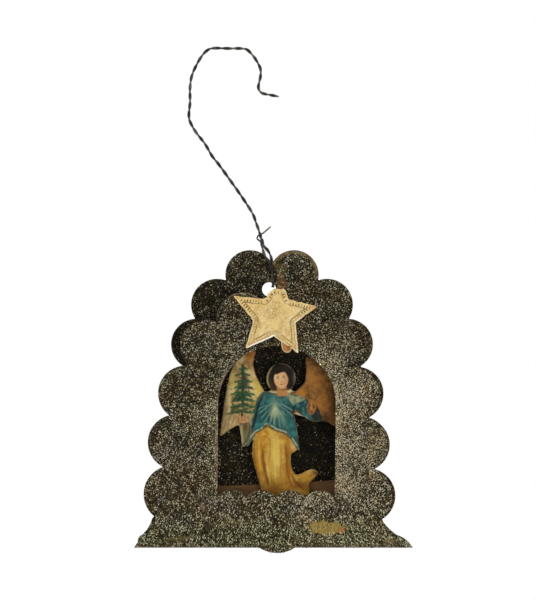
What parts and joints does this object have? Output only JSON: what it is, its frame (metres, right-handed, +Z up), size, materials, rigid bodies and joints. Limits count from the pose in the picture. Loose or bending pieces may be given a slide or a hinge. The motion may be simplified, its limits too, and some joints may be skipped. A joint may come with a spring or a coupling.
{
  "type": "bell-shaped card christmas ornament",
  "caption": "Two scalloped bell-shaped boards spaced as a shadow box, with a printed angel behind an arched window, an embossed star and a twisted wire hook it swings from.",
  "frame": {"origin": "the point inside the hook's bend that rests on a branch", "axes": "+Z up towards the hook, -Y out of the front with the window, +X to the right seen from the front"},
  "size_m": [0.0938, 0.014, 0.1705],
  "materials": {
    "back_board": "matte",
    "front_board": "matte",
    "brown_card": "matte",
    "printed_scrap": "satin",
    "star_foil": "satin",
    "torn_paper": "matte",
    "wire": "satin"
  },
  "bodies": {
    "hanger": {"hanger_wire": "wire"},
    "ornament": {"back_panel": "back_board", "front_panel": "front_board", "floor_strip": "brown_card", "left_spacer": "brown_card", "right_spacer": "brown_card", "top_spacer": "brown_card", "angel_scrap": "printed_scrap", "upper_scrap_pad": "brown_card", "lower_scrap_pad": "brown_card", "foil_star": "star_foil", "star_paper": "torn_paper"}
  },
  "joints": [
    {"name": "swing", "type": "hinge", "parent": "hanger", "child": "ornament", "pos_m": [0.014, 0, -0.0806], "axis": [0, 1, 0], "range_deg": [-30, 30]}
  ]
}
